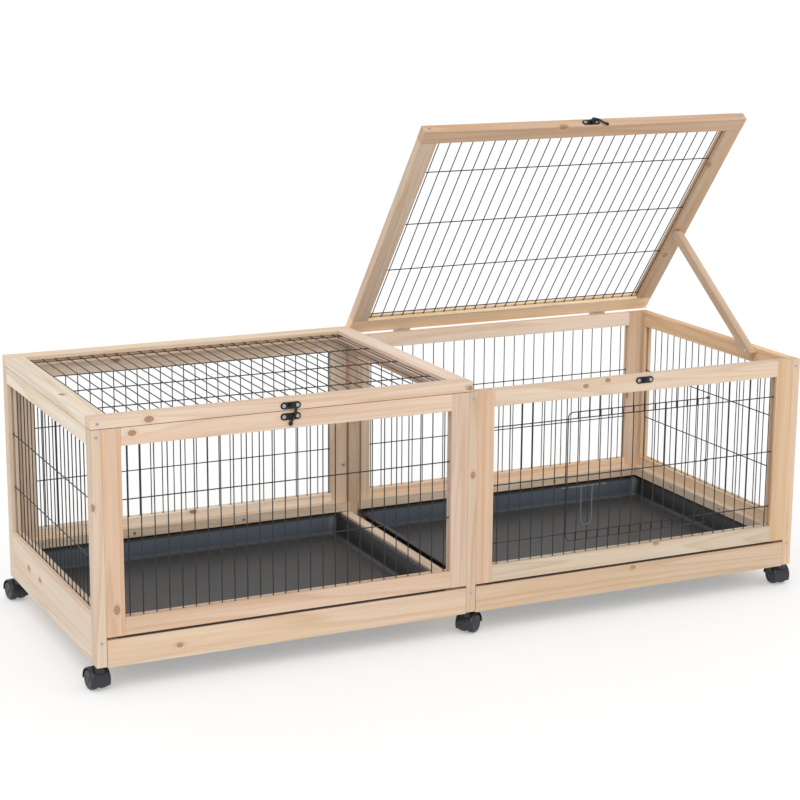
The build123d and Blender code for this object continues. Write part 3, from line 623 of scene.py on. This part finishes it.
def makeMesh():
    span = tucked(panel["stile"], panel["width"] - panel["stile"])
    for bay, x in bayLeft.items():
        row = wireRow(panel["backFirst"][bay], mesh["count"])
        origin = (x, backY - board / 2, footZ)
        runs = meshRuns(origin, across, upright, span, tucked(*panel["backRise"]), row, panel["crosses"])
        wirePiece(bay + "BackMesh", runs, mesh["drawn"], "frame", bay + "_back_mesh")
    row = wireRow(panel["frontFirst"]["left"], mesh["count"])
    origin = (bayLeft["left"], frontY + board / 2, footZ)
    runs = meshRuns(origin, across, upright, span, tucked(*panel["frontRise"]), row, panel["crosses"])
    wirePiece("leftFrontMesh", runs, mesh["drawn"], "frame", "left_front_mesh")
    row = wireRow(panel["sideFirst"], panel["sideCount"])
    span, rise = tucked(*panel["sideSpan"]), tucked(*panel["sideRise"])
    for side, x in (("left", leftX + board / 2), ("right", rightX - board / 2)):
        runs = meshRuns((x, frontY, footZ), inward, upright, span, rise, row, panel["sideCrosses"])
        wirePiece(side + "SideMesh", runs, mesh["drawn"], "frame", side + "_side_mesh")
    print("wire panels made")


door = {
    "opening": (202.4 * mm, 532.6 * mm),
    "openingRise": (130.7 * mm, 365.8 * mm),
    "crossRise": 248.6 * mm,
    "gap": 0.8 * mm,
    "leftInset": 1.6 * mm,
    "hingeInset": 4.6 * mm,
    "overlap": 14.3 * mm,
    "corner": 12.0 * mm,
    "eye": 2.4 * mm,
    "eyeStart": -150,
    "eyeClimb": 2.4 * mm,
    "ringSteps": 14,
    "clear": 3 * mm,
    "coil": 2.5 * mm,
    "coilWires": (0, 3),
}
bolt = {
    "left": 199 * mm,
    "right": 302 * mm,
    "y": -296.6 * mm,
    "rise": 228 * mm,
    "loop": (245.5 * mm, 270.5 * mm),
    "drop": 80 * mm,
    "bend": 11 * mm,
    "drawn": 1.35 * mm,
}


def ringPath(center, first, second, radius, start, climb=0.0):
    # one turn of wire about a centre
    path = []
    steps = door["ringSteps"]
    for k in range(steps + 1):
        a = math.radians(start) + 2 * math.pi * k / steps
        lift = Vector((0, 0, climb * (k / steps - 0.5)))
        path.append(Vector(center) + first * radius * math.cos(a) + second * radius * math.sin(a) + lift)
    return path


def makeRightFront():
    # the right mesh leaves the door's opening free, and the door curls round the upright at its right
    left = bayLeft["right"]
    y = frontY + board / 2
    low, high = tucked(*panel["frontRise"])
    span = tucked(panel["stile"], panel["width"] - panel["stile"])
    openLeft, openRight = door["opening"]
    openLow, openHigh = door["openingRise"]
    uprightY, crossY = y - mesh["shift"], y + mesh["shift"]
    row = wireRow(panel["frontFirst"]["right"], mesh["count"])
    inside = [x for x in row if openLeft + mm < x < openRight - mm]
    runs = []
    for x in row:
        parts = ((low, openLow), (openHigh, high)) if x in inside else ((low, high),)
        for a, b in parts:
            runs.append([(left + x, uprightY, footZ + a), (left + x, uprightY, footZ + b)])
    middle = ((span[0], openLeft), (openRight + door["clear"], span[1]))
    for z, parts in ((openLow, (span,)), (door["crossRise"], middle), (openHigh, (span,))):
        for a, b in parts:
            runs.append([(left + a, crossY, footZ + z), (left + b, crossY, footZ + z)])
    wirePiece("rightFrontMesh", runs, mesh["drawn"], "frame", "right_front_mesh")

    doorY = uprightY - 2 * mesh["half"] - door["gap"]
    doorLeft, doorRight = left + openLeft + door["leftInset"], left + openRight - door["hingeInset"]
    doorLow, doorHigh = footZ + openLow - door["overlap"], footZ + openHigh + door["overlap"]
    border = [
        (doorRight, doorY, doorLow),
        (doorLeft, doorY, doorLow),
        (doorLeft, doorY, doorHigh),
        (doorRight, doorY, doorHigh),
    ]
    runs = [roundedPath(border, door["corner"])]
    for x in inside:
        runs.append([(left + x, doorY, doorLow), (left + x, doorY, doorHigh)])
    cross = footZ + door["crossRise"]
    runs.append([(doorLeft, doorY, cross), (doorRight, doorY, cross)])
    for z in (doorLow, cross, doorHigh):
        hub = (left + openRight, uprightY, z)
        curl = ringPath(hub, across, inward, door["eye"], door["eyeStart"], door["eyeClimb"])
        runs.append([Vector((doorRight, doorY, z - door["eyeClimb"] / 2))] + curl)
    for k in door["coilWires"]:
        x = doorLeft if k == 0 else left + inside[k - 1]
        center = (x, bolt["y"], footZ + bolt["rise"])
        runs.append(ringPath(center, inward, upright, door["coil"], 0))
    wirePiece("wireDoor", runs, mesh["drawn"], "wire_door", "wire_door")
    print("wire door made")


def makeBolt():
    z = footZ + bolt["rise"]
    y = bolt["y"]
    a, b = bolt["loop"]
    thumb = [(a, y, z), (a, y, z - bolt["drop"]), (b, y, z - bolt["drop"]), (b, y, z)]
    runs = [[(bolt["left"], y, z), (bolt["right"], y, z)], roundedPath(thumb, bolt["bend"])]
    wirePiece("doorBolt", runs, bolt["drawn"], "bolt", "door_bolt", finish="bolt")
    print("bolt made")


lidWidth = 757.5 * mm
lid = {
    "width": lidWidth,
    "depth": 600 * mm,
    "ahead": 3.2 * mm,
    "hinge": (303.2 * mm, 494.0 * mm),
    "middleRise": 10.5 * mm,
    "plateRise": 9.5 * mm,
    "count": 27,
    "side": 37 * mm,
    "front": 32 * mm,
    "rear": 38 * mm,
    "crosses": (121 * mm, 272 * mm, 411 * mm, 550 * mm),
    "turns": {"left": 0.0, "right": lidTurn},
    "lefts": {"left": leftX, "right": rightX - lidWidth},
    "latches": {"left": -379 * mm, "right": 383 * mm},
}


def lidPoint(bay, x, ahead, rise):
    turn = lid["turns"][bay]
    hingeY, hingeZ = lid["hinge"]
    y = hingeY - ahead * math.cos(turn) + rise * math.sin(turn)
    z = hingeZ + ahead * math.sin(turn) + rise * math.cos(turn)
    return Vector((x, y, z))


def lidWays(bay):
    # up from the lid's face, and out past its front edge
    turn = lid["turns"][bay]
    return Vector((0, math.sin(turn), math.cos(turn))), Vector((0, -math.cos(turn), math.sin(turn)))


def makeLidMesh():
    for bay, x in lid["lefts"].items():
        _, forward = lidWays(bay)
        origin = lidPoint(bay, x, lid["ahead"] + lid["depth"], lid["middleRise"])
        span = tucked(lid["side"], lid["width"] - lid["side"])
        rise = tucked(lid["front"], lid["depth"] - lid["rear"])
        row = wireRow((lid["width"] - (lid["count"] - 1) * mesh["pitch"]) / 2, lid["count"])
        runs = meshRuns(origin, across, -forward, span, rise, row, lid["crosses"])
        wirePiece(bay + "LidMesh", runs, mesh["drawn"], bay + "_lid", bay + "_lid_mesh")
    print("lid mesh made")


screw = {
    "head": 1.2 * mm,
    "bar": (1.9 * mm, 0.4 * mm),
    "sunk": 0.12 * mm,
    "postX": (leftX + board / 2, 0.0, rightX - board / 2),
    "postRise": {"middle": (40 * mm, 430 * mm), "corner": (46 * mm, 430 * mm)},
    "lidInset": 13 * mm,
    "plate": 1.6 * mm,
    "spacing": 13.5 * mm,
    "catchDrop": 10.5 * mm,
}


def boxOf(center, first, second, third):
    # a box from its middle and three half edges
    rings = []
    corners = ((-1, -1), (1, -1), (1, 1), (-1, 1))
    for c in (-1, 1):
        rings.append([center + first * a + second * b + third * c for a, b in corners])
    return skin(rings, caps=True)


def crossMarks(spots):
    # the cross recess in each head, a thin dark mark of painted shade where the hollow would be, as (middle
    # of the head's top, up along the face, outwards)
    parts = []
    long, short = screw["bar"]
    for center, up, outward in spots:
        side = up.cross(outward).normalized()
        turned = (side + up).normalized()
        other = (side - up).normalized()
        for a, b in ((turned, other), (other, turned)):
            parts.append(boxOf(center, a * long, b * short, outward * screw["sunk"]))
    return parts


def makeRecesses():
    spots = []
    for x in screw["postX"]:
        for rise in screw["postRise"]["middle" if x == 0 else "corner"]:
            for y, way in ((frontY, -1), (backY, 1)):
                center = Vector((x, y + way * screw["head"], footZ + rise))
                spots.append((center, upright, inward * way))
    for x in lid["latches"].values():
        for side in (-1, 1):
            y = frontY - screw["plate"] - screw["head"]
            center = Vector((x + side * screw["spacing"], y, frameTop - screw["catchDrop"]))
            spots.append((center, upright, -inward))
    meshPiece("frameRecesses", crossMarks(spots), "frame", None, "steel", "recess")
    for bay, x in lid["lefts"].items():
        up, forward = lidWays(bay)
        front, rear = lid["ahead"] + lid["depth"] + screw["head"], lid["ahead"] - screw["head"]
        spots = []
        for edge in (x + screw["lidInset"], x + lid["width"] - screw["lidInset"]):
            spots.append((lidPoint(bay, edge, front, lid["middleRise"]), up, forward))
            spots.append((lidPoint(bay, edge, rear, lid["middleRise"]), up, -forward))
        for side in (-1, 1):
            edge = lid["latches"][bay] + side * screw["spacing"]
            spots.append((lidPoint(bay, edge, front + screw["plate"], lid["plateRise"]), up, forward))
        meshPiece(bay + "LidRecesses", crossMarks(spots), bay + "_lid", None, "steel", "recess")
    print("screw recesses made")


latch = {"length": 40 * mm, "height": 13 * mm, "inset": 1.1 * mm, "bead": 0.55 * mm, "steps": 8}


def beadPath(center, up, outward):
    # a slot outline just inside the plate's edge
    radius = latch["height"] / 2 - latch["inset"]
    reach = latch["length"] / 2 - latch["height"] / 2
    lifted = center + outward * screw["plate"]
    path = []
    for way, start in ((1, -90), (-1, 90)):
        for k in range(latch["steps"] + 1):
            a = math.radians(start + 180 * k / latch["steps"])
            path.append(lifted + across * (way * reach + radius * math.cos(a)) + up * radius * math.sin(a))
    return path + [path[0]]


def makeLatchBeads():
    runs = []
    for x in lid["latches"].values():
        runs.append(beadPath(Vector((x, frontY, frameTop - screw["catchDrop"])), upright, -inward))
    wirePiece("catchBeads", runs, latch["bead"], "frame", None, "black_latch")
    for bay, x in lid["latches"].items():
        up, forward = lidWays(bay)
        center = lidPoint(bay, x, lid["ahead"] + lid["depth"], lid["plateRise"])
        run = [beadPath(center, up, forward)]
        wirePiece(bay + "LatchBead", run, latch["bead"], bay + "_lid", None, "black_latch")
    print("latch beads made")


tray = {
    "flange": 7.0 * mm,
    "draft": 10.0 * mm,
    "wall": 2.5 * mm,
    "corner": 22.0 * mm,
    "fillet": 9.0 * mm,
    "edge": 0.8 * mm,
    "footSteps": ((4 * mm, 0.0, 10 * mm), (1 * mm, 1.2 * mm, 13 * mm)),
    "footTop": 4 * mm,
    "footCorner": 15 * mm,
    "wellCorner": 17 * mm,
    "wellShrink": 0.6,
    "filletAngles": (0, 18, 36, 54, 72, 90),
    "lip": 4.6 * mm,
    "lipEdge": 0.5 * mm,
    "lipSunk": 0.1 * mm,
    "lipCorner": 2 * mm,
    "lipSteps": 3,
}


def roundedRing(low, high, z, radius, steps=5):
    ring = []
    for quarter, (sideX, sideY) in enumerate(((1, 1), (-1, 1), (-1, -1), (1, -1))):
        x = high[0] if sideX > 0 else low[0]
        y = high[1] if sideY > 0 else low[1]
        for k in range(steps + 1):
            a = math.radians(90 * quarter + 90 * k / steps)
            place = (x - sideX * radius + radius * math.cos(a), y - sideY * radius + radius * math.sin(a), z)
            ring.append(Vector(place))
    return ring


def makeTray(bay):
    low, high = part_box(bay + "_tray")
    top, bottom, front = high.z, low.z, frontY + board
    slope = tray["draft"] / (top - bottom)
    wall, flange, edge, fillet = tray["wall"], tray["flange"], tray["edge"], tray["fillet"]

    def level(inset, z, radius):
        return roundedRing((low.x + inset, front + inset), (high.x - inset, high.y - inset), z, radius)

    corner, footTop = tray["corner"], tray["footTop"]
    foot = flange + tray["draft"]
    rings = [level(foot + inset, bottom + rise, radius) for inset, rise, radius in tray["footSteps"]]
    rings += [
        level(foot - footTop * slope, bottom + footTop, tray["footCorner"]),
        level(flange, top - wall, corner),
        level(0, top - wall, corner),
        level(0, top - edge, corner),
        level(edge, top, corner - edge),
        level(flange + wall - edge, top, corner - wall),
        level(flange + wall, top - edge, corner - wall),
    ]
    start = bottom + wall + fillet
    inset = flange + wall + slope * (top - start)
    for angle in tray["filletAngles"]:
        a = math.radians(angle)
        radius = tray["wellCorner"] - fillet * tray["wellShrink"] * (1 - math.cos(a))
        rings.append(level(inset + fillet * (1 - math.cos(a)), start - fillet * math.sin(a), radius))
    lipLow, lipHigh = (low.x + corner, low.y), (high.x - corner, front + mm)
    lip = []
    lipFoot, lipTop, soft = top - tray["lip"], top - tray["lipSunk"], tray["lipEdge"]
    for z, shrink in ((lipFoot, soft), (lipFoot + soft, 0), (lipTop - soft, 0), (lipTop, soft)):
        a = (lipLow[0] + shrink, lipLow[1] + shrink)
        b = (lipHigh[0] - shrink, lipHigh[1])
        lip.append(roundedRing(a, b, z, tray["lipCorner"], tray["lipSteps"]))
    parts = [skin(rings, caps=True), skin(lip, caps=True)]
    meshPiece(bay + "Tray", parts, bay + "_drawer", bay + "_tray", "tray_plastic")


caster = {
    "headings": {
        "front_left": 98.0,
        "front_middle": 35.0,
        "front_right": 86.0,
        "back_left": 100.0,
        "back_middle": 60.0,
        "back_right": 75.0,
    },
    "xs": {"left": leftX + board / 2, "middle": 0.0, "right": rightX - board / 2},
    "ys": {"front": frontY + board, "back": backY - board},
    "trail": 12 * mm,
    "hub": 20 * mm,
    "hoodArc": (-6.0, 206.0),
    "steps": {"wheel": 40, "hood": 36, "arch": 24, "web": 32, "neck": 28},
}
# caster profiles in millimetres, as (along the axis, radius)
wheelProfile = (
    (4.3, 0.0), (4.3, 19.0), (5.0, 19.8), (8.5, 20.0), (12.5, 19.9), (15.4, 19.0), (17.3, 17.2), (18.2, 14.8),
    (18.3, 12.6), (17.6, 11.4), (17.3, 9.0), (17.4, 5.6), (18.4, 4.8), (18.6, 2.4), (18.6, 0.0),
)
hoodProfile = (
    (-18.2, 21.4), (-18.4, 21.9), (-17.9, 22.8), (-16.4, 23.5), (-13.0, 23.8), (0.0, 23.9), (13.0, 23.8),
    (16.4, 23.5), (17.9, 22.8), (18.4, 21.9), (18.2, 21.4),
)
webProfile = ((-3.5, 0.0), (-3.5, 17.0), (3.5, 17.0), (3.5, 0.0))
archProfile = ((-3.5, 16.0), (-3.5, 21.6), (3.5, 21.6), (3.5, 16.0))
neckProfile = (
    (36.0, 0.0), (36.0, 10.4), (40.0, 9.6), (43.0, 8.4), (47.4, 8.0), (48.4, 7.2), (48.4, 4.0), (74.0, 4.0),
    (74.4, 3.4), (74.4, 0.0),
)


def makeCaster(place, heading):
    row, column = place.split("_")
    turn = math.radians(heading)
    ahead = Vector((math.cos(turn), math.sin(turn), 0))
    axle = Vector((ahead.y, -ahead.x, 0))
    pivot = Vector((caster["xs"][column], caster["ys"][row], 0))
    hub = pivot + ahead * caster["trail"] + upright * caster["hub"]
    name = "caster_" + place
    steps = caster["steps"]
    wheels = [spun(wheelProfile, hub, axle * side, ahead, upright, steps["wheel"]) for side in (-1, 1)]
    meshPiece(name + "Wheels", wheels, name + "_roll", name + "_wheels", "wheel_plastic")
    start, stop = caster["hoodArc"]
    hood = spun(hoodProfile, hub, axle, ahead, upright, steps["hood"], start, stop, loop=True)
    arch = spun(archProfile, hub, axle, ahead, upright, steps["arch"], start, stop, loop=True)
    web = spun(webProfile, hub, axle, ahead, upright, steps["web"])
    neck = spun(neckProfile, pivot, upright, across, inward, steps["neck"])
    meshPiece(name + "Hood", [hood, arch, web, neck], name + "_swivel", name + "_fork", "black_plastic")


makeCamera()
makeStage()
dressNodes()
makeMesh()
makeRightFront()
makeBolt()
makeLidMesh()
makeRecesses()
makeLatchBeads()
for trayBay in ("left", "right"):
    makeTray(trayBay)
print("trays made")
for casterPlace, casterHeading in caster["headings"].items():
    makeCaster(casterPlace, casterHeading)
print("casters made")
